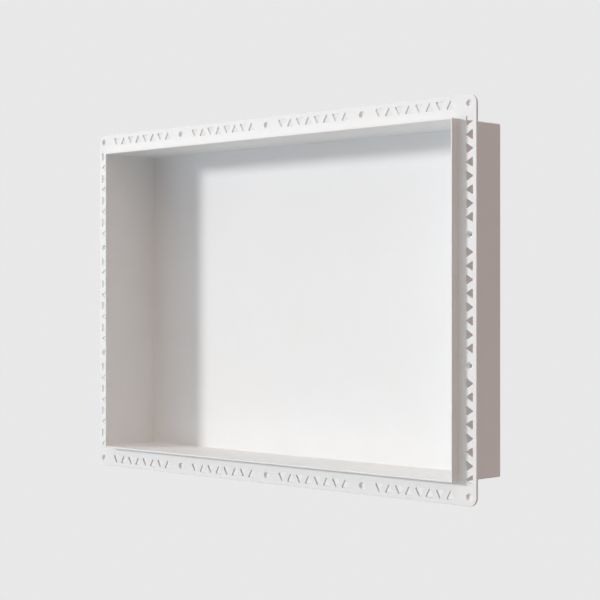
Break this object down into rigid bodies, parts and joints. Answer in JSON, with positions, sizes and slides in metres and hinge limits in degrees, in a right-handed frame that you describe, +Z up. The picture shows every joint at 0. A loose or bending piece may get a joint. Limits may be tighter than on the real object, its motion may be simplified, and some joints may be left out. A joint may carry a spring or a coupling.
{
  "type": "shower niche insert",
  "caption": "Thin-walled rectangular wall niche, open at the front, with a plain lip for the tiles to meet and a flat perforated flange with countersunk screw holes.",
  "frame": {"origin": "centre of the flange's rear face, the face that seats on the wall", "axes": "+X to the right seen from the room, +Y into the wall, +Z up; the open side faces -Y"},
  "size_m": [0.66, 0.088, 0.455],
  "materials": {
    "white_plastic": "satin"
  },
  "bodies": {
    "root": {"niche_insert": "white_plastic"}
  },
  "joints": []
}
